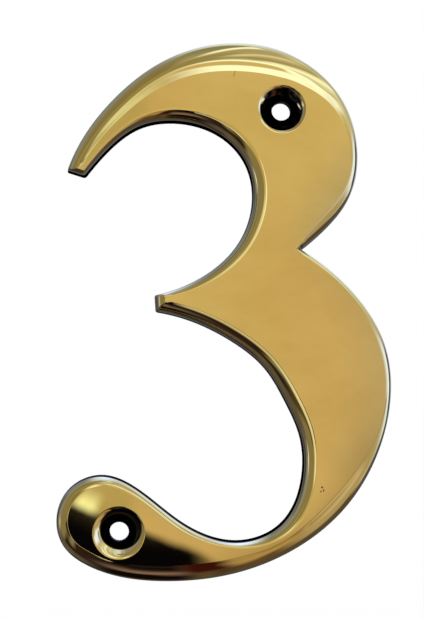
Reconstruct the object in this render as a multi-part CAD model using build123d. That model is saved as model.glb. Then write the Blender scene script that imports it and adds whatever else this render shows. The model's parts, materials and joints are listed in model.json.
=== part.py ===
from build123d import *
import os
from math import cos, pi, radians, sin, tan

# Section through the casting, in millimetres
thickness = 5.0
crown_rise = 2.0
crown_bands = 6
wall_lean = 0.2
tip_end_width = 0.9
arm_end_width = 2.0
tip_corner_round = 0.5
face_corner_round = 0.1

# Countersunk screw holes
screw_hole_d = 3.6
countersink_d = 8.6
countersink_angle = 90.0
upper_rim_round = 0.8
lower_rim_round = 1.1
upper_hole = (10.95, 37.9)
lower_hole = (-19.5, -41.25)

# Outline stations as seen from the front: across, up, and the width of the rounding there
notch_x = 14.85
notch_y = 11.6
right_of_top = [
    (notch_x, notch_y, 1.05),
    (20.05, 16.25, 1.75),
    (24.2, 22.1, 1.45),
    (25.5, 29.4, 1.3),
    (22.4, 40.6, 2.7),
    (15.7, 47.15, 4.5),
]
top_and_arm = [
    (3.6, 50.95, 5.7),
    (-10.9, 47.65, 4.6),
    (-20.85, 40.05, 3.65),
    (-26.1, 33.5, 2.95),
    (-29.6, 26.3, 2.15),
]
upper_hollow = [
    (-26.1, 25.2, 0.75),
    (-20.6, 31.4, 0.95),
    (-15.6, 34.75, 1.3),
    (-10.4, 35.75, 1.95),
    (0.0, 32.75, 2.3),
    (4.1, 28.0, 2.35),
    (5.5, 22.0, 2.35),
    (3.1, 13.3, 2.1),
    (-4.5, 6.25, 1.6),
    (-13.0, 3.05, 0.5),
]
lower_hollow = [
    (-12.8, -0.2, 2.1),
    (-6.4, -1.8, 2.1),
    (1.3, -5.55, 2.2),
    (7.9, -10.95, 2.2),
    (11.6, -17.0, 2.4),
    (14.4, -23.6, 2.3),
    (14.95, -29.0, 2.2),
    (10.7, -40.0, 1.85),
    (2.9, -43.1, 0.9),
]
bulb = [
    (-7.5, -39.85, 1.05),
    (-15.5, -33.8, 1.15),
    (-22.8, -30.8, 1.55),
    (-28.7, -33.1, 1.9),
    (-31.35, -39.3, 2.1),
    (-30.0, -43.95, 2.3),
    (-25.3, -47.7, 2.6),
]
underside = [
    (-11.0, -50.6, 3.0),
    (3.05, -48.95, 2.85),
    (10.55, -46.19, 2.55),
    (22.25, -37.75, 3.1),
    (30.6, -22.15, 1.4),
    (30.8, -7.25, 1.2),
    (21.55, 6.65, 1.0),
    (notch_x, notch_y, 0.85),
]

# Spacing of the stations along a lofted side
side_spacing = 6.0

# The sides in order, anticlockwise from the notch. A curved side carries its rounding width as its height.
upper_side = Spline(*right_of_top, *top_and_arm)
tip_end = Line(top_and_arm[-1][:2], upper_hollow[0][:2])
upper_hollow_side = Spline(*upper_hollow)
arm_end = Line(upper_hollow[-1][:2], lower_hollow[0][:2])
lower_side = Spline(*lower_hollow, *bulb, *underside)
sides = [upper_side, tip_end, upper_hollow_side, arm_end, lower_side]
end_widths = {1: tip_end_width, 3: arm_end_width}


def plan(vector):
    """A vector without its height."""
    return Vector(vector.X, vector.Y)


def direction(side, t):
    """The way a side runs in plan at the share t of its length."""
    return plan(side.tangent_at(t)).normalized()


def inward(side, t):
    """The plan normal that points into the metal."""
    along = direction(side, t)
    return Vector(-along.Y, along.X)


def reach(index, t, lean, share):
    """How far a side has moved in: the wall's lean, then a share of the rest of its rounding width."""
    width = end_widths[index] if index in end_widths else sides[index].position_at(t).Z
    return lean + (width - lean) * share


def corner(index, lean, share):
    """The point where a side and the one before it meet, once each has moved into the metal."""
    before = sides[index - 1]
    after = sides[index]
    n1 = inward(before, 1)
    n2 = inward(after, 0)
    w1 = reach((index - 1) % len(sides), 1, lean, share)
    w2 = reach(index, 0, lean, share)
    cross = n1.X * n2.Y - n1.Y * n2.X
    shift = Vector((w1 * n2.Y - w2 * n1.Y) / cross, (w2 * n1.X - w1 * n2.X) / cross)
    return plan(after.position_at(0)) + shift


def moved_side(index, lean, share):
    """One side of a ring, short of its rounded tip corners, after it has moved into the metal."""
    side = sides[index]
    start = corner(index, lean, share)
    end = corner((index + 1) % len(sides), lean, share)
    along_start = direction(side, 0)
    along_end = direction(side, 1)
    corner_round = tip_corner_round + (face_corner_round - tip_corner_round) * share
    start_round = corner_round if index > 0 else 0.0
    end_round = corner_round if index < len(sides) - 1 else 0.0
    if index in end_widths:
        return Line(start + along_start * start_round, end - along_end * end_round)
    start_skip = max(0.0, (start - plan(side.position_at(0))).dot(along_start)) + start_round
    end_skip = max(0.0, (plan(side.position_at(1)) - end).dot(along_end)) + end_round
    first = start_skip / side.length
    last = 1 - end_skip / side.length
    count = round(side.length / side_spacing)
    points = [start + along_start * start_round]
    for step in range(1, count):
        t = first + (last - first) * step / count
        points.append(plan(side.position_at(t)) + inward(side, t) * reach(index, t, lean, share))
    points.append(end - along_end * end_round)
    return Edge.make_spline(points, parameters=[step / count for step in range(count + 1)])


def ring(height, lean, share):
    """The outline at one height, with its tip corners rounded and its notch left sharp."""
    edges = [moved_side(0, lean, share)]
    for index in range(1, len(sides)):
        side = moved_side(index, lean, share)
        edges.append(Bezier(edges[-1].position_at(1), corner(index, lean, share), side.position_at(0)))
        edges.append(side)
    return Pos(0, 0, height) * Wire(edges)


wall_height = thickness - crown_rise


def crown_ring(turn):
    """The outline where the rounding has turned by an angle from the side wall."""
    return ring(wall_height + crown_rise * sin(turn), wall_lean, 1 - cos(turn))


# Leaning side wall, then the rounding in narrow bands up to the flat front face
wall = Solid.make_loft([ring(0, 0, 0), crown_ring(0)], ruled=True)
band_turn = pi / 2 / crown_bands
bands = []
for band in range(crown_bands):
    turns = [band_turn * (band + part) for part in (0, 0.5, 1)]
    bands.append(Solid.make_loft([crown_ring(turn) for turn in turns]))
blank = wall + bands

# Screw holes, countersunk from the front
sink_depth = (countersink_d - screw_hole_d) / 2 / tan(radians(countersink_angle / 2))
shank = Pos(0, 0, thickness / 2) * Cylinder(screw_hole_d / 2, 2 * thickness)
sink = Pos(0, 0, thickness - sink_depth / 2) * Cone(screw_hole_d / 2, countersink_d / 2, sink_depth)
hole_places = Locations(upper_hole, lower_hole)
drilled = blank - [place * (shank + sink) for place in hole_places.locations]


def rim_at(solid, place):
    """The sharp front edge of the countersink at a place on the face."""
    front = Vector(*place, thickness)
    return min(solid.edges().filter_by(GeomType.CIRCLE), key=lambda edge: (edge.arc_center - front).length)


finished = fillet(rim_at(drilled, upper_hole), upper_rim_round)
finished = fillet(rim_at(finished, lower_hole), lower_rim_round)

# Upright, with the front facing -Y and the back on y = 0
numeral = Rot(90, 0, 0) * finished
os.makedirs("parts", exist_ok=True)
export_step(numeral, "parts/numeral.step")
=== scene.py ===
"""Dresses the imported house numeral: a polished brass figure 3 with two countersunk screw holes."""

from __future__ import annotations

import json
import logging
import math
from dataclasses import dataclass, field
from enum import Enum, IntEnum
from typing import Any, Iterator, NamedTuple, Sequence

import bmesh
import bpy
import numpy as np
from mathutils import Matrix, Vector

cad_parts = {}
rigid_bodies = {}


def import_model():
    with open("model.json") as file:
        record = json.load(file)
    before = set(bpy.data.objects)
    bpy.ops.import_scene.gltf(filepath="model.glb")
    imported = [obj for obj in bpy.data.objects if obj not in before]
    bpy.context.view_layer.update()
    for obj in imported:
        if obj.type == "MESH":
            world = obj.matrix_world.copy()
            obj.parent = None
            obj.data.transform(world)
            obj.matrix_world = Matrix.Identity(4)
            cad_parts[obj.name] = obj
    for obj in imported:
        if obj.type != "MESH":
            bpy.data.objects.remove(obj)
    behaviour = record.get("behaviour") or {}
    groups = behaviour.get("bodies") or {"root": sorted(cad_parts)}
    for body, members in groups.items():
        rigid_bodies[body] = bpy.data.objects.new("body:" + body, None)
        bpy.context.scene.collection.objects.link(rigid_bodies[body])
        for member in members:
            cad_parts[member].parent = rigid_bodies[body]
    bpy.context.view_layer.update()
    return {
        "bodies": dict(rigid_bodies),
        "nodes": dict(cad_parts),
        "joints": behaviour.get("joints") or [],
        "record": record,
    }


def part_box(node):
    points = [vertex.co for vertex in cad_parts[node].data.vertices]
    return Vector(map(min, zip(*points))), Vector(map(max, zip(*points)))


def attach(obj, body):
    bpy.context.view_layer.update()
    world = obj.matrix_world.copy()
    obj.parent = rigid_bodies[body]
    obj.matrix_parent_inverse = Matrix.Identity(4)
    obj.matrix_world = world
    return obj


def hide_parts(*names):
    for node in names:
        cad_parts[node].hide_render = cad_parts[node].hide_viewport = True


logging.basicConfig(level=logging.INFO, format="%(name)s: %(message)s")
log = logging.getLogger("house_number")

Socket = bpy.types.NodeSocket
Pair = tuple[float, float]
Triple = tuple[float, float, float]

MM = 0.001

# Depths nearer than this, in metres, count as the same
LEVEL = 1e-6

# Stations of the outline, anticlockwise from the notch between its two curves: across, up, and the
# width of the rounding there, in millimetres
NOTCH = (14.85, 11.6)
UPPER_CURVE = (
    (*NOTCH, 1.05), (20.05, 16.25, 1.75), (24.2, 22.1, 1.45), (25.5, 29.4, 1.3), (22.4, 40.6, 2.7),
    (15.7, 47.15, 4.5), (3.6, 50.95, 5.7), (-10.9, 47.65, 4.6), (-20.85, 40.05, 3.65),
    (-26.1, 33.5, 2.95), (-29.6, 26.3, 2.15),
)
UPPER_HOLLOW = (
    (-26.1, 25.2, 0.75), (-20.6, 31.4, 0.95), (-15.6, 34.75, 1.3), (-10.4, 35.75, 1.95),
    (0.0, 32.75, 2.3), (4.1, 28.0, 2.35), (5.5, 22.0, 2.35), (3.1, 13.3, 2.1), (-4.5, 6.25, 1.6),
    (-13.0, 3.05, 0.5),
)
LOWER_CURVE = (
    (-12.8, -0.2, 2.1), (-6.4, -1.8, 2.1), (1.3, -5.55, 2.2), (7.9, -10.95, 2.2),
    (11.6, -17.0, 2.4), (14.4, -23.6, 2.3), (14.95, -29.0, 2.2), (10.7, -40.0, 1.85),
    (2.9, -43.1, 0.9), (-7.5, -39.85, 1.05), (-15.5, -33.8, 1.15), (-22.8, -30.8, 1.55),
    (-28.7, -33.1, 1.9), (-31.35, -39.3, 2.1), (-30.0, -43.95, 2.3), (-25.3, -47.7, 2.6),
    (-11.0, -50.6, 3.0), (3.05, -48.95, 2.85), (10.55, -46.19, 2.55), (22.25, -37.75, 3.1),
    (30.6, -22.15, 1.4), (30.8, -7.25, 1.2), (21.55, 6.65, 1.0), (*NOTCH, 0.85),
)
TIP_END_WIDTH = 0.9
ARM_END_WIDTH = 2.0

# The rounding of the upper and lower countersink rims
RIM_ROUNDS = (0.8 * MM, 1.5 * MM)


def smooth(share: Any) -> Any:
    """A soft step that is level at 0 and at 1."""
    return share * share * (3.0 - 2.0 * share)


class SmoothRun:
    """A smooth run through stations, measured by shares of its length."""

    DENSE = 4000
    END_POINTS = 4

    def __init__(self, stations: Sequence[Triple]) -> None:
        """Fits the run.

        Args:
            stations: The points that the run passes through, in order.
        """
        self._points = np.array(stations, dtype=float)
        chords = np.linalg.norm(np.diff(self._points, axis=0), axis=1)
        self._knots = np.concatenate([[0.0], np.cumsum(chords)])
        self._slopes = self._fit_slopes()
        self._dense = np.linspace(0.0, self._knots[-1], self.DENSE)
        steps = np.diff(self._evaluate(self._dense)[0], axis=0)
        self._lengths = np.concatenate([[0.0], np.cumsum(np.linalg.norm(steps, axis=1))])
        self.length = float(self._lengths[-1])

    def _fit_slopes(self) -> np.ndarray:
        """Solves for the slope at each station that keeps the curvature continuous.

        Returns:
            One slope per station and coordinate.
        """
        count = len(self._points)
        gaps = np.diff(self._knots)
        chord_slopes = np.diff(self._points, axis=0) / gaps[:, None]
        if count == 2:
            return np.vstack([chord_slopes, chord_slopes])
        system = np.zeros((count, count))
        wanted = np.zeros_like(self._points)
        for i in range(1, count - 1):
            system[i, i - 1 : i + 2] = gaps[i], 2 * (gaps[i - 1] + gaps[i]), gaps[i - 1]
            wanted[i] = 3 * (gaps[i] * chord_slopes[i - 1] + gaps[i - 1] * chord_slopes[i])
        for row, span in ((0, slice(self.END_POINTS)), (count - 1, slice(-self.END_POINTS, None))):
            system[row, row] = 1.0
            origin = self._knots[row]
            fitted = np.polyfit(self._knots[span] - origin, self._points[span], self.END_POINTS - 1)
            wanted[row] = fitted[-2]
        return np.linalg.solve(system, wanted)

    def _evaluate(self, knots: np.ndarray) -> tuple[np.ndarray, np.ndarray]:
        """Reads the run at knot values.

        Args:
            knots: Values along the run's own parameter.

        Returns:
            The points and their derivatives.
        """
        cell = np.clip(np.searchsorted(self._knots, knots, "right") - 1, 0, len(self._knots) - 2)
        gap = np.diff(self._knots)[cell][:, None]
        s = (knots - self._knots[cell])[:, None] / gap
        p0, p1 = self._points[cell], self._points[cell + 1]
        m0, m1 = self._slopes[cell] * gap, self._slopes[cell + 1] * gap
        points = (
            (2 * s**3 - 3 * s**2 + 1) * p0
            + (s**3 - 2 * s**2 + s) * m0
            + (3 * s**2 - 2 * s**3) * p1
            + (s**3 - s**2) * m1
        )
        rates = (
            (6 * s**2 - 6 * s) * (p0 - p1)
            + (3 * s**2 - 4 * s + 1) * m0
            + (3 * s**2 - 2 * s) * m1
        ) / gap
        return points, rates

    def at(self, shares: np.ndarray) -> tuple[np.ndarray, np.ndarray, np.ndarray]:
        """Reads the run at shares of its length.

        Args:
            shares: Values from 0 at the start to 1 at the end.

        Returns:
            Plan points, unit plan directions and rounding widths.
        """
        knots = np.interp(np.asarray(shares) * self.length, self._lengths, self._dense)
        points, rates = self._evaluate(knots)
        along = rates[:, :2] / np.linalg.norm(rates[:, :2], axis=1)[:, None]
        return points[:, :2], along, points[:, 2]


def inward(along: np.ndarray) -> np.ndarray:
    """The plan normals that point into the metal, left of the way that a side runs."""
    return np.stack([-along[..., 1], along[..., 0]], axis=-1)


@dataclass
class Outline:
    """The closed outline, which can be read at any depth of its rounding."""

    column: float = 0.4
    end_columns: int = 10
    corner_columns: int = 7
    base_corner: float = 0.5
    face_corner: float = 0.1
    sides: list[SmoothRun] = field(init=False)

    def __post_init__(self) -> None:
        """Fits the five sides and settles how many columns each has."""
        tip_end = [(*end[:2], TIP_END_WIDTH) for end in (UPPER_CURVE[-1], UPPER_HOLLOW[0])]
        arm_end = [(*end[:2], ARM_END_WIDTH) for end in (UPPER_HOLLOW[-1], LOWER_CURVE[0])]
        runs = (UPPER_CURVE, tip_end, UPPER_HOLLOW, arm_end, LOWER_CURVE)
        self.sides = [SmoothRun(stations) for stations in runs]
        counts = (round(side.length / self.column) for side in self.sides)
        self._counts = [max(self.end_columns, count) for count in counts]

    @staticmethod
    def _reach(widths: np.ndarray, lean: float, share: float) -> np.ndarray:
        """How far a side has moved in: the wall's lean, then a share of its width past that."""
        return lean + (widths - lean) * share

    def _corner(self, index: int, lean: float, share: float) -> np.ndarray:
        """Finds where a side and the one before it meet, once each has moved into the metal.

        Args:
            index: The side that starts at the corner.
            lean: The wall's lean in millimetres.
            share: The share of the rounding width that has been used.

        Returns:
            The plan point of the corner.
        """
        _, along_before, width_before = self.sides[index - 1].at(np.array([1.0]))
        point, along_after, width_after = self.sides[index].at(np.array([0.0]))
        normals = np.vstack([inward(along_before), inward(along_after)])
        reaches = self._reach(np.concatenate([width_before, width_after]), lean, share)
        return point[0] + np.linalg.solve(normals, reaches)

    def _moved_side(self, index: int, lean: float, share: float) -> np.ndarray:
        """One side of a ring, short of its rounded tip corners.

        Args:
            index: The side's place in the outline.
            lean: The wall's lean in millimetres.
            share: The share of the rounding width that has been used.

        Returns:
            The plan points of the side's columns.
        """
        side = self.sides[index]
        last_index = len(self.sides) - 1
        start = self._corner(index, lean, share)
        end = self._corner((index + 1) % len(self.sides), lean, share)
        ends, along, _ = side.at(np.array([0.0, 1.0]))
        rounding = self.base_corner + (self.face_corner - self.base_corner) * share
        start_round = rounding if index > 0 else 0.0
        end_round = rounding if index < last_index else 0.0
        first = (max(0.0, float((start - ends[0]) @ along[0])) + start_round) / side.length
        last = 1.0 - (max(0.0, float((ends[1] - end) @ along[1])) + end_round) / side.length
        shares = first + (last - first) * np.linspace(0.0, 1.0, self._counts[index] + 1)
        points, ways, widths = side.at(shares)
        moved = points + inward(ways) * self._reach(widths, lean, share)[:, None]
        moved[0] = start + along[0] * start_round
        moved[-1] = end - along[1] * end_round
        return moved

    def ring(self, lean: float, share: float) -> np.ndarray:
        """The whole outline at one depth, with its tip corners rounded and its notch sharp.

        Args:
            lean: The wall's lean in millimetres.
            share: The share of the rounding width that has been used.

        Returns:
            Plan points in millimetres, the first and last both at the notch.
        """
        runs = [self._moved_side(0, lean, share)]
        bend = np.linspace(0.0, 1.0, self.corner_columns + 2)[1:-1, None]
        for index in range(1, len(self.sides)):
            side = self._moved_side(index, lean, share)
            before, after = runs[-1][-1], side[0]
            apex = self._corner(index, lean, share)
            runs.append((1 - bend) ** 2 * before + 2 * bend * (1 - bend) * apex + bend**2 * after)
            runs.append(side)
        return np.vstack(runs)


@dataclass(frozen=True)
class ScrewHole:
    """A hole that is countersunk from the front, with a softly rounded rim."""

    centre: Pair
    radius: float
    rim_round: float
    sink_radius: float = 4.3 * MM
    half_angle: float = math.radians(45.0)
    rim_steps: int = 10
    segments: int = 144
    wall_slack: float = 1.01

    def rim_radius(self) -> float:
        """The radius at which the rounded rim runs into the face."""
        return self.sink_radius + self.rim_round * math.tan((math.pi / 2 - self.half_angle) / 2)

    def is_wall(self, place: Vector) -> bool:
        """Whether a face's middle lies on the hole's straight wall."""
        return math.dist((place.x, place.z), self.centre) < self.wall_slack * self.radius

    def build(self, front: float) -> bpy.types.Object:
        """Models the hole's surface from its rim to the back.

        Args:
            front: The front face's place on Y, in metres.

        Returns:
            An open tube, still apart from the figure.
        """
        rim = self.rim_radius()
        profile = []
        for k in range(1, self.rim_steps + 1):
            turn = (math.pi / 2 - self.half_angle) * k / self.rim_steps
            sunk = self.rim_round * (1 - math.cos(turn))
            profile.append((rim - self.rim_round * math.sin(turn), front + sunk))
        cone_depth = (self.sink_radius - self.radius) / math.tan(self.half_angle)
        profile += [(self.radius, front + cone_depth), (self.radius, 0.0)]
        middle = (self.centre[0], front, self.centre[1])
        bpy.ops.object.select_all(action="DESELECT")
        bpy.ops.mesh.primitive_circle_add(
            vertices=self.segments, radius=rim, location=middle, rotation=(math.pi / 2, 0.0, 0.0)
        )
        bpy.ops.object.transform_apply(location=True, rotation=True, scale=True)
        bpy.ops.object.mode_set(mode="EDIT")
        bpy.ops.mesh.select_all(action="SELECT")
        radius, depth = rim, front
        for next_radius, next_depth in profile:
            bpy.ops.mesh.extrude_edges_move(
                TRANSFORM_OT_translate={"value": (0.0, next_depth - depth, 0.0)}
            )
            shrink = next_radius / radius
            bpy.ops.transform.resize(value=(shrink, 1.0, shrink), center_override=middle)
            radius, depth = next_radius, next_depth
        bpy.ops.object.mode_set(mode="OBJECT")
        return bpy.context.object


class Surface(IntEnum):
    """The material slots of the surfaces that are not polished."""

    BORE = 1
    BACK = 2


@dataclass
class Figure:
    """The figure 3: leaning wall, a rounding of varying width, flat face, and two screw holes.

    The rounding and the broken edge of the face are in millimetres.
    """

    thickness: float
    holes: list[ScrewHole]
    crown_rise: float = 2.0
    wall_lean: float = 0.2
    wall_rows: int = 4
    crown_rows: int = 56
    crown_crowding: float = 1.35
    break_rows: int = 6
    break_width: float = 0.36
    break_slope: float = math.radians(4.2)
    break_part: float = 0.22
    break_knee: float = 0.35
    break_steepening: float = 0.4
    break_samples: int = 60
    break_blend: float = 1.2
    break_shelf: float = 0.65
    shelf_widths: Pair = (2.6, 4.6)
    least_step: float = 0.003
    corner_bend: float = math.radians(8.0)
    corner_clearance: float = 1.6
    corner_apart: float = 6.0
    grid_decimals: int = 6
    weld: float = 1e-7
    sharp_angle: float = math.radians(32.0)
    normal_weight: int = 100

    def rings(self) -> np.ndarray:
        """Works out where every vertex of the side goes.

        Returns:
            Points in metres, by row from the back and by column along the outline.
        """
        outline = Outline()
        top = self.thickness / MM
        wall_height = top - self.crown_rise
        foot, edge = outline.ring(self.wall_lean, 0.0), outline.ring(self.wall_lean, 1.0)
        across = edge - foot
        widths = np.linalg.norm(across, axis=1)
        inwards = across / widths[:, None]
        broken = np.minimum(self.break_width, self.break_part * self._face_room(edge))
        steep = math.tan(self.break_slope) * broken / self.break_width
        loops = []
        for k in range(self.wall_rows):
            share = k / self.wall_rows
            plan = outline.ring(self.wall_lean * share, 0.0)
            loops.append((plan, np.full(len(plan), wall_height * share)))
        for k in range(self.crown_rows + 1):
            turn = math.pi / 2 * (1.0 - (1.0 - k / self.crown_rows) ** self.crown_crowding)
            plan = outline.ring(self.wall_lean, 1.0 - math.cos(turn))
            drop = self._crown_drop(turn, widths, broken, steep)
            loops.append((plan, wall_height + self.crown_rise * math.sin(turn) - drop))
        for k in range(1, self.break_rows + 1):
            left = 1.0 - k / self.break_rows
            step = broken * (1.0 - left) + self.least_step * k
            plan = edge + inwards * step[:, None]
            loops.append((plan, top - steep * broken * self._break_sink(left)))
        return np.array([np.column_stack([p[:, 0], -h, p[:, 1]]) for p, h in loops]) * MM

    def _crown_drop(
        self, turn: float, widths: np.ndarray, broken: np.ndarray, steep: np.ndarray
    ) -> np.ndarray:
        """Works out how far the broken edge pulls down a row of the rounding outside it.

        Args:
            turn: How far the rounding has turned from the side wall, in radians.
            widths: The rounding's width, by column.
            broken: The broken edge's width, by column.
            steep: The broken edge's slope, by column.

        Returns:
            The drop, by column. The edge's slope runs on over a shelf, then blends away.
        """
        edge_sink = steep * broken * self._break_sink(1.0)
        edge_slope = steep * self._break_slope(1.0)
        narrow, wide = self.shelf_widths
        share = np.clip((widths - narrow) / (wide - narrow), 0.0, 1.0)
        shelf = self.break_shelf * smooth(share) * broken / self.break_width
        blend = np.minimum(widths - shelf, self.break_blend)
        level = np.sqrt(1.0 - (shelf / widths) ** 2)
        shelf_sink = edge_sink + edge_slope * shelf - self.crown_rise * (1.0 - level)
        crown_slope = self.crown_rise * shelf / (widths**2 * level)
        shelf_slope = edge_slope - crown_slope + 2 * shelf_sink / blend
        out = widths * math.cos(turn)
        past = np.maximum(out - shelf, 0.0)
        outside = (shelf_sink + shelf_slope * past) * np.clip(1.0 - past / blend, 0.0, 1.0) ** 2
        inside = edge_sink + edge_slope * out - self.crown_rise * (1.0 - math.sin(turn))
        return np.where(out < shelf, inside, outside)

    def _break_slope(self, share: float) -> float:
        """The slope of the broken edge: 0 at the face, 1 at its knee, and steepest outside."""
        past = max(share - self.break_knee, 0.0) / (1.0 - self.break_knee)
        return smooth(min(share / self.break_knee, 1.0)) + self.break_steepening * past

    def _break_sink(self, share: float) -> float:
        """How far the broken edge has sunk at a share of its width, for a slope of 1."""
        places = (np.arange(self.break_samples) + 0.5) / self.break_samples * share
        return float(np.mean([self._break_slope(place) for place in places])) * share

    def _face_room(self, plan: np.ndarray) -> np.ndarray:
        """Measures how much flat face there is behind each place of its edge.

        Args:
            plan: The face's edge, by column.

        Returns:
            The room in millimetres, short near a tip, the notch, a screw hole or the opposite edge.
        """
        steps = np.diff(plan, axis=0, append=plan[:1])
        ways = np.unwrap(np.arctan2(steps[:, 1], steps[:, 0]))
        bends = np.abs(ways - np.roll(ways, 1)) > self.corner_bend
        bends[[0, -1]] = True
        apart = np.linalg.norm(plan[:, None] - plan[None], axis=2)
        run = np.concatenate([[0.0], np.cumsum(np.linalg.norm(steps, axis=1))])
        along = np.abs(run[:-1, None] - run[None, :-1])
        along = np.minimum(along, run[-1] - along)
        room = np.min(np.where(along > self.corner_apart, apart, np.inf), axis=1)
        for hole in self.holes:
            gap = np.linalg.norm(plan - np.array(hole.centre) / MM, axis=1) - hole.rim_radius() / MM
            room = np.minimum(room, gap)
        clear = np.min(apart[:, bends], axis=1) / self.corner_clearance
        return room * smooth(np.clip(clear, 0.0, 1.0))

    def _wrapped_side(self) -> bpy.types.Object:
        """Wraps a flat grid round the outline.

        Returns:
            The figure's side, open at the face and at the back.
        """
        points = self.rings()
        rows, columns = points.shape[:2]
        bpy.ops.object.select_all(action="DESELECT")
        bpy.ops.mesh.primitive_grid_add(
            x_subdivisions=columns - 1, y_subdivisions=rows - 1, size=1.0
        )
        side = bpy.context.object
        flat = np.empty(rows * columns * 3)
        side.data.vertices.foreach_get("co", flat)
        flat = flat.reshape(-1, 3).round(self.grid_decimals)
        order = np.lexsort((flat[:, 0], flat[:, 1]))
        placed = np.empty_like(flat)
        placed[order] = points.reshape(-1, 3)
        side.data.vertices.foreach_set("co", placed.ravel())
        side.data.update()
        return side

    @staticmethod
    def _select_open_loops(depth: float) -> None:
        """Selects the open edges that lie at one depth of the mesh in edit mode.

        Args:
            depth: The loops' place on Y, in metres.
        """
        bpy.ops.mesh.select_all(action="DESELECT")
        edit = bmesh.from_edit_mesh(bpy.context.object.data)
        for edge in edit.edges:
            level = all(abs(vert.co.y - depth) < LEVEL for vert in edge.verts)
            edge.select_set(level and edge.is_boundary)
        edit.select_flush_mode()
        bmesh.update_edit_mesh(bpy.context.object.data)

    def build(self) -> bpy.types.Object:
        """Models the figure.

        Returns:
            The finished piece, at the origin.
        """
        tubes = [hole.build(-self.thickness) for hole in self.holes]
        piece = self._wrapped_side()
        for tube in tubes:
            tube.select_set(True)
        bpy.context.view_layer.objects.active = piece
        bpy.ops.object.join()
        piece.name = piece.data.name = "polished_numeral"
        bpy.ops.object.mode_set(mode="EDIT")
        bpy.ops.mesh.select_mode(type="EDGE")
        bpy.ops.mesh.select_all(action="SELECT")
        bpy.ops.mesh.remove_doubles(threshold=self.weld)
        for depth in (-self.thickness, 0.0):
            self._select_open_loops(depth)
            bpy.ops.mesh.fill(use_beauty=True)
        bpy.ops.mesh.select_all(action="SELECT")
        bpy.ops.mesh.normals_make_consistent(inside=False)
        bpy.ops.object.mode_set(mode="OBJECT")
        bpy.ops.object.shade_smooth_by_angle(angle=self.sharp_angle)
        even = piece.modifiers.new("even_normals", "WEIGHTED_NORMAL")
        even.keep_sharp = True
        even.weight = self.normal_weight
        bpy.ops.object.modifier_apply(modifier=even.name)
        self._true_face_normals(piece.data)
        return piece

    def _true_face_normals(self, mesh: bpy.types.Mesh) -> None:
        """Makes the shading run level onto the flat face, so that it mirrors without ripples.

        Args:
            mesh: The finished mesh.
        """
        normals = np.empty(len(mesh.loops) * 3)
        mesh.corner_normals.foreach_get("vector", normals)
        normals = normals.reshape(-1, 3)
        corners = np.empty(len(mesh.loops), dtype=int)
        mesh.loops.foreach_get("vertex_index", corners)
        points = np.empty(len(mesh.vertices) * 3)
        mesh.vertices.foreach_get("co", points)
        depths = points.reshape(-1, 3)[corners, 1]
        normals[np.abs(depths + self.thickness) < LEVEL] = (0.0, -1.0, 0.0)
        mesh.normals_split_custom_set(normals.tolist())

    def dress(self, piece: bpy.types.Object) -> None:
        """Gives each surface its finish.

        Args:
            piece: The finished piece.
        """
        piece.data.materials.clear()
        for finish in (PolishedBrass(), DarkBore(), GroundBack()):
            piece.data.materials.append(finish.material())
        for face in piece.data.polygons:
            if face.center.y > -LEVEL:
                face.material_index = Surface.BACK
            elif any(hole.is_wall(face.center) for hole in self.holes):
                face.material_index = Surface.BORE


class Grain(NamedTuple):
    """The settings of a noise texture."""

    scale: float
    detail: float
    roughness: float = 0.5
    distortion: float = 0.0


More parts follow.
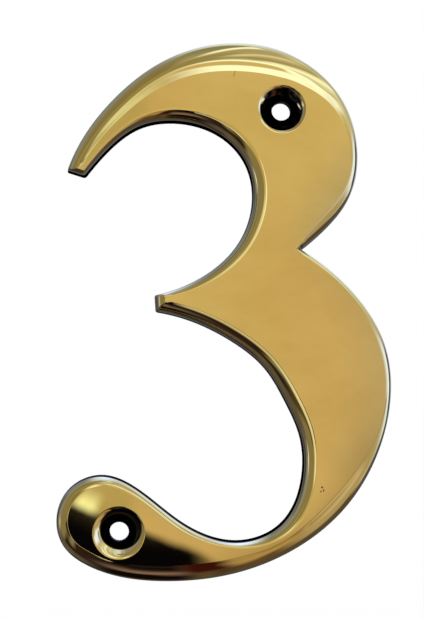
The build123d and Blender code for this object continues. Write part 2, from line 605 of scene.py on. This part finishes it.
class Sums:
    """A node tree, with the few sums that the finishes and the studio are made of."""

    NOISE_RANGE = (0.3, 0.7)

    # The Mix node's sockets for a share and two colours, and for the mixed colour
    MIX_INPUTS = (0, 6, 7)
    MIX_OUTPUT = 2

    def __init__(self, tree: bpy.types.NodeTree) -> None:
        """Takes the node tree of a material or of the world, to add nodes to."""
        self.tree = tree

    def feed(self, socket: Socket, value: Any) -> None:
        """Links a socket to another, or sets it to a plain value.

        Args:
            socket: The input to feed.
            value: A socket, a number, or a tuple of numbers.
        """
        if isinstance(value, Socket):
            self.tree.links.new(value, socket)
        else:
            socket.default_value = value

    def node(
        self, kind: str, inputs: dict[Any, Any] | None = None, **settings: Any
    ) -> bpy.types.Node:
        """Adds a node.

        Args:
            kind: The node's type.
            inputs: What feeds its sockets, by their names or numbers.
            settings: Values for the node's own properties.

        Returns:
            The new node.
        """
        made = self.tree.nodes.new(kind)
        for name, value in settings.items():
            setattr(made, name, value)
        for key, value in (inputs or {}).items():
            self.feed(made.inputs[key], value)
        return made

    def maths(self, operation: str, *values: Any) -> Socket:
        """The result of one sum of sockets or plain numbers."""
        return self.node("ShaderNodeMath", dict(enumerate(values)), operation=operation).outputs[0]

    def reach(self, across: Socket, up: Socket) -> Socket:
        """The distance that two sides at right angles span."""
        squares = self.maths("MULTIPLY_ADD", up, up, self.maths("MULTIPLY", across, across))
        return self.maths("SQRT", squares)

    def fade(self, value: Socket, start: float, end: float) -> Socket:
        """Turns a value into a soft step from 1 at its start to 0 at its end.

        Args:
            value: The value to watch.
            start: Where the result is still 1.
            end: Where the result has come down to 0.

        Returns:
            The soft step.
        """
        falls = start < end
        ends = (min(start, end), max(start, end), float(falls), float(not falls))
        inputs = dict(enumerate((value, *ends)))
        return self.node("ShaderNodeMapRange", inputs, interpolation_type="SMOOTHSTEP").outputs[0]

    def spread(self, noise: Socket, ends: Pair) -> Socket:
        """The usual range of a noise, spread evenly between two ends."""
        inputs = dict(enumerate((noise, *self.NOISE_RANGE, *ends)))
        return self.node("ShaderNodeMapRange", inputs).outputs[0]

    def mix(self, share: Socket, first: Any, second: Any) -> Socket:
        """Mixes two colours.

        Args:
            share: How much of the second colour there is.
            first: A colour socket or a plain colour.
            second: A colour socket or a plain colour.

        Returns:
            The mixed colour.
        """
        first, second = ((*c, 1.0) if isinstance(c, tuple) else c for c in (first, second))
        inputs = dict(zip(self.MIX_INPUTS, (share, first, second)))
        return self.node("ShaderNodeMix", inputs, data_type="RGBA").outputs[self.MIX_OUTPUT]

    def noise(self, place: Socket, grain: Grain) -> Socket:
        """The value of a noise texture at a place."""
        inputs = {name.capitalize(): value for name, value in grain._asdict().items()}
        return self.node("ShaderNodeTexNoise", {"Vector": place, **inputs}).outputs["Fac"]

    def slanted(self, place: Socket, turn: float, stretch: float) -> Socket:
        """Coordinates scaled along X, then turned within the plane of the face."""
        inputs = {"Vector": place, "Rotation": (0.0, turn, 0.0), "Scale": (stretch, 1.0, 1.0)}
        return self.node("ShaderNodeMapping", inputs).outputs[0]

    def waved(self, height: Socket, strength: float, depth: float) -> Socket:
        """A normal that is waved by a height from 0 to 1, for a depth in metres."""
        inputs = {"Strength": strength, "Distance": depth, "Height": height}
        return self.node("ShaderNodeBump", inputs).outputs[0]


@dataclass(frozen=True)
class Mark:
    """A short or round mark on the front, in millimetres: whole in its core, gone at its rim."""

    start: Pair
    end: Pair
    core: float
    rim: float
    strength: float = 1.0

    def mask(self, sums: Sums, across: Socket, up: Socket) -> Socket:
        """Finds the share of the mark at a place.

        Args:
            sums: The material's nodes.
            across: The place on X, in millimetres.
            up: The place on Z, in millimetres.

        Returns:
            The mark's strength in its core, falling softly to 0 at its rim.
        """
        run = (self.end[0] - self.start[0], self.end[1] - self.start[1])
        square = run[0] ** 2 + run[1] ** 2 or 1.0
        x = sums.maths("SUBTRACT", across, self.start[0])
        z = sums.maths("SUBTRACT", up, self.start[1])
        dot = sums.maths("MULTIPLY_ADD", z, run[1], sums.maths("MULTIPLY", x, run[0]))
        along = sums.node("ShaderNodeClamp", {0: sums.maths("DIVIDE", dot, square)}).outputs[0]
        x = sums.maths("SUBTRACT", x, sums.maths("MULTIPLY", along, run[0]))
        z = sums.maths("SUBTRACT", z, sums.maths("MULTIPLY", along, run[1]))
        share = sums.fade(sums.reach(x, z), self.core, self.rim)
        return sums.maths("MULTIPLY", share, self.strength)


# A nick near the top and three pits low on the right
FLAWS = (
    Mark((2.1, 45.0), (1.8, 44.0), 0.048, 0.096, 0.6),
    Mark((18.2, -32.9), (18.3, -32.95), 0.102, 0.204),
    Mark((18.55, -33.4), (18.5, -33.6), 0.078, 0.156),
    Mark((17.95, -33.75), (18.05, -33.7), 0.072, 0.144),
)

# Where the countersinks get painted shade, and two gaps in the upper one's painted shade, where the
# bare brass shows its own reflections
RECESS_SHADE = (
    Mark((10.8, 37.87), (10.8, 37.87), 3.94, 4.18),
    Mark((-19.13, -40.5), (-19.13, -40.5), 3.78, 4.02),
)
SHADE_GAPS = (
    Mark((7.39, 39.86), (7.11, 39.11), 0.18, 0.36),
    Mark((13.93, 39.11), (14.49, 37.99), 0.066, 0.132),
)


@dataclass(frozen=True)
class Finish:
    """A finish, made as one node material."""

    name: str

    def material(self) -> bpy.types.Material:
        """Builds the finish.

        Returns:
            A new node material.
        """
        made = bpy.data.materials.new(self.name)
        made.use_nodes = True
        sums = Sums(made.node_tree)
        place = sums.node("ShaderNodeTexCoord").outputs["Object"]
        self.shade(sums, made.node_tree.nodes["Principled BSDF"].inputs, place)
        return made

    def shade(self, sums: Sums, inputs: Any, place: Socket) -> None:
        """Sets up the shader, which each finish does in its own way."""
        raise NotImplementedError


@dataclass(frozen=True)
class PolishedBrass(Finish):
    """The mirror finish, which is darker down the side wall and has painted shade and painted brown
    reflections in the countersinks.
    """

    name: str = "polished_brass"
    light: Triple = (0.615, 0.405, 0.112)
    warm: Triple = (0.541, 0.343, 0.084)
    pitted: Triple = (0.09, 0.05, 0.015)
    # Painted shade in the countersinks
    blackened: Triple = (0.010, 0.009, 0.009)
    # Painted brown reflection in the upper part of the countersinks
    stained: Triple = (0.2, 0.1, 0.035)
    # The side wall's darker colour
    aged: Triple = (0.2, 0.135, 0.055)
    bright_edge: Triple = (1.0, 1.0, 1.0)
    dull_edge: Triple = (0.03, 0.03, 0.035)
    front_depth: Pair = (-4.5 * MM, -4.0 * MM)
    wall_top: Pair = (-2.75 * MM, -3.0 * MM)
    # Height, patchiness and noise of the painted brown reflection
    stain_height: Pair = (41.0, 39.0)
    stain_tones: Pair = (0.6, 0.48)
    stain_grain: Grain = Grain(900.0, 2.0)
    smear_turn: float = math.radians(40.0)
    smear_stretch: float = 0.45
    smear_tones: Pair = (0.8, 0.22)
    smear_grain: Grain = Grain(75.0, 6.0, 0.68, 0.4)
    roughness: Pair = (0.008, 0.02)
    polish_grain: Grain = Grain(420.0, 4.0)
    ripple_strength: float = 0.006
    ripple_depth: float = MM
    ripple_grain: Grain = Grain(85.0, 1.0)

    def shade(self, sums: Sums, inputs: Any, place: Socket) -> None:
        """Sets up a bare metal with its marks, fine unevenness and slight waves.

        Args:
            sums: The material's nodes.
            inputs: The shader's input sockets, by name.
            place: Object coordinates.
        """
        parts = sums.node("ShaderNodeSeparateXYZ", {0: place}).outputs
        # The side wall is darker, and a dark specular tint dulls its reflections
        aged = sums.fade(parts["Y"], *self.wall_top)
        slanted = sums.slanted(place, self.smear_turn, self.smear_stretch)
        smeared = sums.fade(sums.noise(slanted, self.smear_grain), *self.smear_tones)
        colour = sums.mix(smeared, self.light, self.warm)
        colour = sums.mix(aged, colour, self.aged)
        sums.feed(inputs["Base Color"], self._marked(sums, place, parts, colour))
        sums.feed(inputs["Specular Tint"], sums.mix(aged, self.bright_edge, self.dull_edge))
        inputs["Metallic"].default_value = 1.0
        uneven = sums.noise(place, self.polish_grain)
        sums.feed(inputs["Roughness"], sums.spread(uneven, self.roughness))
        ripples = sums.noise(place, self.ripple_grain)
        sums.feed(inputs["Normal"], sums.waved(ripples, self.ripple_strength, self.ripple_depth))

    def _marked(self, sums: Sums, place: Socket, parts: Any, colour: Socket) -> Socket:
        """Lays the flaws, and the painted shade and painted brown reflections of the countersinks,
        over the metal's colour.

        Args:
            sums: The material's nodes.
            place: Object coordinates.
            parts: The same, as X, Y and Z.
            colour: The metal's colour.

        Returns:
            The marked colour.
        """
        across, up = (sums.maths("DIVIDE", parts[axis], MM) for axis in "XZ")
        front = sums.fade(parts["Y"], *self.front_depth)
        flawed = sums.maths("MULTIPLY", self._most(sums, FLAWS, across, up), front)
        # Gaps in the painted shade, where the bare brass shows its reflections
        whole = sums.maths("SUBTRACT", 1.0, self._most(sums, SHADE_GAPS, across, up))
        # The painted shade's share, less its gaps
        recess_shade = sums.maths("MULTIPLY", self._most(sums, RECESS_SHADE, across, up), whole)
        # Painted brown reflections, patchy and towards the top, over the countersinks' painted shade
        patchy = sums.fade(sums.noise(place, self.stain_grain), *self.stain_tones)
        stains_and_reflections = sums.maths("MULTIPLY", patchy, sums.fade(up, *self.stain_height))
        black = sums.mix(stains_and_reflections, self.blackened, self.stained)
        # The painted shade, with its painted brown reflections, goes over the flawed metal in the
        # countersinks
        return sums.mix(recess_shade, sums.mix(flawed, colour, self.pitted), black)

    @staticmethod
    def _most(sums: Sums, marks: Sequence[Mark], across: Socket, up: Socket) -> Socket:
        """Lays marks of one kind together.

        Args:
            sums: The material's nodes.
            marks: The marks.
            across: The place on X, in millimetres.
            up: The place on Z, in millimetres.

        Returns:
            The highest share among them.
        """
        share = marks[0].mask(sums, across, up)
        for mark in marks[1:]:
            share = sums.maths("MAXIMUM", share, mark.mask(sums, across, up))
        return share


@dataclass(frozen=True)
class DarkBore(Finish):
    """The dull wall of a screw hole, nearly black as painted shade."""

    name: str = "dark_bore"
    # Nearly black, as painted shade
    colour: Triple = (0.008, 0.007, 0.006)
    stained: Triple = (0.02, 0.014, 0.009)
    stain_grain: Grain = Grain(700.0, 3.0)
    roughness: float = 0.7
    gloss: float = 0.1

    def shade(self, sums: Sums, inputs: Any, place: Socket) -> None:
        """Sets up a dull, nearly black surface of painted shade, with faint patches.

        Args:
            sums: The material's nodes.
            inputs: The shader's input sockets, by name.
            place: Object coordinates.
        """
        stains_and_reflections = sums.noise(place, self.stain_grain)
        sums.feed(inputs["Base Color"], sums.mix(stains_and_reflections, self.colour, self.stained))
        inputs["Roughness"].default_value = self.roughness
        inputs["Specular IOR Level"].default_value = self.gloss


@dataclass(frozen=True)
class GroundBack(Finish):
    """The flat ground back, dull and faintly lined."""

    name: str = "ground_back"
    colour: Triple = (0.52, 0.36, 0.13)
    worn: Triple = (0.36, 0.24, 0.09)
    wear_tones: Pair = (0.7, 0.35)
    wear_grain: Grain = Grain(90.0, 5.0)
    roughness: Pair = (0.32, 0.48)
    bareness: float = 0.5
    line_turn: float = math.radians(8.0)
    line_stretch: float = 0.06
    line_grain: Grain = Grain(1500.0, 3.0)
    line_strength: float = 0.25
    line_depth: float = 0.05 * MM

    def shade(self, sums: Sums, inputs: Any, place: Socket) -> None:
        """Sets up a dull metal with cloudy wear and fine grinding lines.

        Args:
            sums: The material's nodes.
            inputs: The shader's input sockets, by name.
            place: Object coordinates.
        """
        wear = sums.fade(sums.noise(place, self.wear_grain), *self.wear_tones)
        sums.feed(inputs["Base Color"], sums.mix(wear, self.worn, self.colour))
        inputs["Metallic"].default_value = self.bareness
        lines = sums.noise(sums.slanted(place, self.line_turn, self.line_stretch), self.line_grain)
        sums.feed(inputs["Roughness"], sums.spread(lines, self.roughness))
        sums.feed(inputs["Normal"], sums.waved(lines, self.line_strength, self.line_depth))


@dataclass(frozen=True)
class PhotoCamera:
    """The photograph's camera, placed from pixels of the plane that the figure's back lies in."""

    image: tuple[int, int] = (424, 618)
    pixel: float = 0.1896 * MM
    origin: Pair = (223.0, 311.5)
    foot: Pair = (160.0, 380.0)
    distance: float = 306.0 * MM
    sensor: float = 24.0
    clip_start: float = 0.01

    def wall_point(self, across: float, down: float) -> Vector:
        """The point of the back plane that a pixel shows."""
        right, up = across - self.origin[0], self.origin[1] - down
        return Vector((right * self.pixel, 0.0, up * self.pixel))

    def build(self) -> bpy.types.Object:
        """Adds the camera and makes it the scene's own.

        Returns:
            The camera.
        """
        place = self.wall_point(*self.foot) - Vector((0.0, self.distance, 0.0))
        aim = self.wall_point(self.image[0] / 2, self.image[1] / 2)
        bpy.ops.object.camera_add(location=place)
        camera = bpy.context.object
        camera.name = "photo_camera"
        camera.rotation_euler = (aim - place).to_track_quat("-Z", "Y").to_euler()
        focal = (aim - place).length / self.pixel
        camera.data.sensor_fit = "VERTICAL"
        camera.data.sensor_height = self.sensor
        camera.data.lens = focal / self.image[1] * self.sensor
        camera.data.clip_start = self.clip_start
        bpy.context.scene.camera = camera
        return camera


class Frame(Enum):
    """The two axes that directions in the studio are measured round."""

    FRONT = ((0.0, -1.0, 0.0), (1.0, 0.0, 0.0))
    BATTEN = ((-0.463, -0.882, -0.087), (0.0, -1.0, 0.0))

    def axes(self) -> tuple[Vector, Vector, Vector]:
        """The axis, the direction that bearings start from, and the one they turn towards."""
        axis = Vector(self.value[0]).normalized()
        start = Vector(self.value[1])
        start = (start - start.dot(axis) * axis).normalized()
        turned = axis.cross(start)
        return axis, start, turned if turned.z > 0 else -turned


class Sky(Sums):
    """The world's nodes, which read the direction that a ray leaves in."""

    def __init__(self, tree: bpy.types.NodeTree) -> None:
        """Starts from the ray's direction.

        Args:
            tree: The world's node tree.
        """
        super().__init__(tree)
        self.direction = self.node("ShaderNodeTexCoord").outputs["Generated"]
        self._read: dict[tuple[Frame, str], Socket] = {}

    def along(self, way: Vector) -> Socket:
        """How far a ray's direction lies along a way."""
        inputs = {0: self.direction, 1: tuple(way)}
        return self.node("ShaderNodeVectorMath", inputs, operation="DOT_PRODUCT").outputs["Value"]

    def opening(self, frame: Frame) -> Socket:
        """The angle between a ray and a frame's axis."""
        key = (frame, "opening")
        if key not in self._read:
            self._read[key] = self.maths("ARCCOSINE", self.along(frame.axes()[0]))
        return self._read[key]

    def bearing(self, frame: Frame) -> Socket:
        """The angle that a ray has turned round a frame's axis."""
        key = (frame, "bearing")
        if key not in self._read:
            _, start, turned = frame.axes()
            self._read[key] = self.maths("ARCTAN2", self.along(turned), self.along(start))
        return self._read[key]


def edge_ends(angle: float, soft: float) -> Pair:
    """The angles that a card's edge fades between, in radians."""
    return math.radians(angle - soft), math.radians(angle + soft)


@dataclass(frozen=True)
class Card:
    """A plain card or light panel of the studio, seen only in the metal's polish.

    Its sweep round the axis is given as its middle, half its width and its fade. Its near and far
    edges are given as the angle off the axis and the fade, all in degrees. A card with a plane lies
    on the far side of that plane, which passes through the figure and has a normal and a fade.
    """

    name: str
    level: Triple
    sweep: Triple | None = None
    near: Pair | None = None
    far: Pair | None = None
    plane: tuple[Triple, float] | None = None

    def _masks(self, sky: Sky, frame: Frame) -> Iterator[Socket]:
        """Finds how much of the card each of its edges leaves.

        Args:
            sky: The world's nodes.
            frame: The axis that the card is measured round.

        Yields:
            A soft share, from 1 on the card's side of an edge to 0 past it.
        """
        if self.plane:
            normal, soft = self.plane
            reach = math.sin(math.radians(soft))
            yield sky.fade(sky.along(Vector(normal).normalized()), -reach, reach)
        if self.sweep:
            centre, half, soft = self.sweep
            apart = sky.maths("SUBTRACT", sky.bearing(frame), math.radians(centre))
            apart = sky.maths("ABSOLUTE", sky.maths("WRAP", apart, math.pi, -math.pi))
            yield sky.fade(apart, *edge_ends(half, soft))
        if self.near:
            yield sky.fade(sky.opening(frame), *reversed(edge_ends(*self.near)))
        if self.far:
            yield sky.fade(sky.opening(frame), *edge_ends(*self.far))

    def lay(self, sky: Sky, frame: Frame, behind: Any) -> Socket:
        """Lays the card over what stands behind it.

        Args:
            sky: The world's nodes.
            frame: The axis that the card is measured round.
            behind: The colour of the studio without this card.

        Returns:
            The colour of the studio with it.
        """
        share, *others = self._masks(sky, frame)
        for other in others:
            share = sky.maths("MULTIPLY", share, other)
        return sky.mix(share, behind, self.level)


# Each card lies over the ones before it
FRONT_CARDS = (
    Card("right_room", (0.758, 0.844, 1.226), (11.4, 38.1, 5.5), (7.6, 1.8)),
    Card("low_right_room", (0.39, 0.364, 0.376), (-44.4, 25.9, 20), (7.6, 1.2), (16.4, 4.6)),
    Card("left_glow", (0.822, 0.87, 0.791), (184.4, 91.9, 3.8), (3, 0.4), (25, 11.6),
         plane=((0.999, -0.013, -0.045), 0.37)),
    Card("left_grey", (0.396, 0.433, 0.436), (163.7, 68.7, 20),
         plane=((0.987, -0.161, -0.008), 2.14)),
    Card("left_far", (0.412, 0.585, 1.37), (161.9, 49.7, 8), (73.5, 20)),
    Card("left_back", (0.086, 0.099, 0.161), (-166.9, 45, 5.2), (111.2, 20)),
    Card("arm_back", (0.267, 0.408, 0.731), (133.6, 28.8, 19.6), (120.4, 20)),
    Card("low_right", (0.834, 1.038, 1.822), (-30.9, 16.2, 10.6), (24.9, 20)),
    Card("low_right_far", (0.125, 0.165, 0.279), (-30.6, 23.1, 7.7), (90.1, 9.5)),
    Card("underside_warm", (0.183, 0.132, 0.11), (-63.6, 11.9, 11.5), (7.8, 2.3)),
    Card("underside_pale", (0.762, 0.703, 0.599), (-66, 14.5, 3.6), (12.7, 10), (30.9, 11.6)),
    Card("underside_far", (0.191, 0.153, 0.183), (-58.4, 23.1, 3.8), (47, 6.5)),
    Card("low_left_pale", (0.401, 0.532, 0.921), (-136, 6.1, 2.6), (10.6, 1.4), (24, 6)),
    Card("left_brown", (0.144, 0.133, 0.165), (-145, 6.3, 6.3), (15.9, 9.7), (74.1, 8)),
    Card("under_left", (0.047, 0.032, 0.052), (-116.3, 13.3, 4.3), (9.2, 6.8)),
    Card("under_left_mid", (0.037, 0.032, 0.036), (-136.3, 12.6, 3.4), (28.8, 15.6), (72.4, 6.7)),
    Card("bulb_left_dark", (0.01, 0.008, 0.006), (-150, 10.8, 3.5), (10.5, 4.8), (17.4, 2)),
    Card("under_left_back", (0.152, 0.175, 0.35), (-132.5, 32.5, 14.9), (68.7, 14.2), (114, 20)),
    Card("under_dark", (0.008, 0.006, 0.021), (-95.8, 17.1, 9.6), (6.9, 0.5)),
    Card("under_glow", (0.511, 0.445, 0.867), (-94.4, 12.8, 12.8), (32, 18.7), (53, 20)),
    Card("under_red", (0.062, 0.014, 0.02), (-80.9, 5, 2.7), (8.3, 2.6), (55.2, 20)),
    Card("under_back", (0.116, 0.145, 0.239), (-79.9, 32.3, 20), (112.7, 6.8)),
    Card("bulb_pale", (1.9, 2.7, 3.6), (-120.5, 4, 2.5), (4.8, 0.5), (6.5, 0.5)),
    Card("hollow_dark", (0.143, 0.149, 0.244), (-55.5, 22.8, 6), (83.1, 3.2), (127.3, 12)),
    Card("hollow_black", (0.008, 0.007, 0.007), (-98.1, 7.8, 3.1), (55.9, 2), (96, 16)),
    Card("bulb_flag", (0.003, 0.003, 0.011), (-112.3, 38.5, 7.3), (0.7, 1), (9.5, 2.3),
         plane=((0.362, -0.09, 0.928), 0.19)),
    Card("right_window", (1.446, 2.246, 7), (7.6, 25, 12.4), (18.2, 11.2), (101.7, 2.4)),
    Card("right_back", (0.074, 0.162, 0.635), (8.8, 22.1, 5.4), (82.9, 8.7), (132.6, 3)),
    Card("upper_right_pale", (0.835, 0.91, 1.041), (43.4, 23.4, 8.5), (13.4, 0.6)),
    Card("upper_right_band", (1.109, 1.351, 1.406), (64, 22.7, 6), (18.4, 20), (30.6, 3.5)),
    Card("upper_right_mid", (1.195, 1.683, 2.817), (48.6, 16.7, 16.7), (33.4, 13.4)),
    Card("upper_right_far", (0.642, 0.923, 2.153), (43.7, 29.4, 3), (86.6, 1.9), (111, 7.7)),
    Card("top_grey", (0.682, 0.834, 1.146), (86.2, 18.8, 5.1), (27.1, 0.8)),
    Card("top_back", (1.338, 2.171, 5.931), (87.8, 15.7, 17.7), (77.5, 20)),
    Card("top_frame", (1.769, 2.621, 5.268), (73, 23, 12), (15.8, 3.1), (27.8, 2.6)),
    Card("arm_band", (1.226, 1.615, 2.235), (113.7, 8.3, 9.3), (9.5, 2), (21.6, 0.9)),
    Card("axis_spot", (1.063, 1.172, 1.196), far=(2.4, 3.7)),
    Card("edge_left", (1.917, 2.608, 4.299), (128.1, 11, 10.4), (6, 0.6), (13.1, 8.3)),
    Card("edge_low_left", (1.627, 1.994, 2.996), (-138, 32.8, 1.6), (7.3, 0.8), (10.2, 4.2)),
    Card("arm_near", (0.516, 0.598, 0.585), (120.8, 37.8, 20), (24.7, 2.3), (41.6, 2.2)),
    Card("notch_dark", (0.694, 0.745, 0.914), (-38.1, 19.2, 9.1), (33.7, 6.5), (68.4, 8)),
    Card("right_low_white", (0.659, 0.716, 0.782), (-16.9, 12.6, 3), (15.3, 1.5), (35.8, 20)),
    Card("hollow_glint", (1.778, 2.401, 3.999), (-175.3, 5.1, 7.2), (76.9, 3), (85, 3)),
    Card("hole_light", (1.8, 2.6, 5), (-14.4, 4, 3), (85, 3), (93, 3)),
    Card("behind", (0.2, 0.22, 0.23), near=(160, 6)),
)
BATTEN_CARDS = (
    Card("band_a", (1.614, 2.384, 5.919), (24.2, 6.4, 1.9), (47, 2.5), (68.8, 18.8)),
    Card("band_b", (1.685, 2.321, 4.2), (35.5, 2.2, 1.4), (47, 2.5), (107.4, 10.2)),
    Card("gap_b", (0.891, 1.078, 1.028), (27.4, 1.9, 1.9), (47.5, 2.5), (87.6, 20)),
    Card("band_c", (0.545, 0.633, 0.705), (44.4, 4.7, 1.3), (47.5, 2.5), (97.5, 20)),
    Card("gap_c", (1.243, 1.523, 2.311), (46.2, 2.1, 2.1), (47.5, 3), (84.4, 16.2)),
    Card("gap_d", (0.764, 0.931, 1.228), (43.3, 1.6, 1.1), (52.6, 6.1), (96.3, 20)),
    Card("band_d", (1.882, 2.721, 5.714), (61.7, 2.3, 2.2), (53.6, 5.3), (82.8, 1.2)),
    Card("gap_e", (0.435, 0.564, 0.938), (77.1, 12.7, 1.9), (58.9, 10.3), (83, 2.8)),
)


@dataclass(frozen=True)
class Studio:
    """A white studio with cards and light panels round the figure, and a pale floor."""

    white: Triple = (1.0, 1.0, 1.0)
    room: Triple = (1, 0.975, 0.963)
    floor_height: float = -0.075
    floor_size: float = 6.0
    floor_colour: Triple = (0.45, 0.45, 0.45)
    floor_glow: float = 0.55

    def build_floor(self) -> bpy.types.Object:
        """Adds a pale floor that is as white as the background and still takes a soft shadow.

        Returns:
            The floor, which stays out of the metal's reflections.
        """
        bpy.ops.object.select_all(action="DESELECT")
        place = (0.0, 0.0, self.floor_height)
        bpy.ops.mesh.primitive_plane_add(size=self.floor_size, location=place)
        floor = bpy.context.object
        floor.name = "floor"
        made = bpy.data.materials.new("pale_floor")
        made.use_nodes = True
        made.node_tree.nodes.clear()
        sums = Sums(made.node_tree)
        matt = sums.node("ShaderNodeBsdfDiffuse", {"Color": (*self.floor_colour, 1.0)})
        glow = sums.node("ShaderNodeEmission", {"Strength": self.floor_glow})
        both = sums.node("ShaderNodeAddShader", {0: matt.outputs[0], 1: glow.outputs[0]})
        sums.node("ShaderNodeOutputMaterial", {"Surface": both.outputs[0]})
        floor.data.materials.append(made)
        floor.visible_glossy = False
        return floor

    def build_world(self) -> None:
        """Makes the world plain white, with its cards seen only in what is polished."""
        world = bpy.data.worlds.new("white_studio")
        world.use_nodes = True
        bpy.context.scene.world = world
        sky = Sky(world.node_tree)
        colour = self.room
        for frame, cards in ((Frame.FRONT, FRONT_CARDS), (Frame.BATTEN, BATTEN_CARDS)):
            for card in cards:
                colour = card.lay(sky, frame, colour)
        paths = sky.node("ShaderNodeLightPath")
        seen = sky.mix(paths.outputs["Is Glossy Ray"], self.white, colour)
        sky.feed(world.node_tree.nodes["Background"].inputs["Color"], seen)


def screw_holes(record: dict[str, Any]) -> list[ScrewHole]:
    """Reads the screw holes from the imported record.

    Args:
        record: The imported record.

    Returns:
        One hole for each bore that the record names, from the top down.
    """
    bores = [mount for mount in record["mounts"] if mount["kind"] == "bore"]
    bores.sort(key=lambda mount: mount["pos_m"][2], reverse=True)
    return [
        ScrewHole((bore["pos_m"][0], bore["pos_m"][2]), bore["dims"]["r_mm"] * MM, rim)
        for bore, rim in zip(bores, RIM_ROUNDS)
    ]


def main() -> None:
    """Builds the figure, its finish and the studio in order."""
    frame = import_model()
    low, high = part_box("numeral")
    figure = Figure(thickness=high[1] - low[1], holes=screw_holes(frame["record"]))
    piece = figure.build()
    figure.dress(piece)
    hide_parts("numeral")
    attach(piece, "root")
    log.info("%s: %d faces", piece.name, len(piece.data.polygons))
    PhotoCamera().build()
    studio = Studio()
    studio.build_world()
    studio.build_floor()
    bpy.context.scene.view_settings.view_transform = "Standard"


if __name__ == "__main__":
    main()
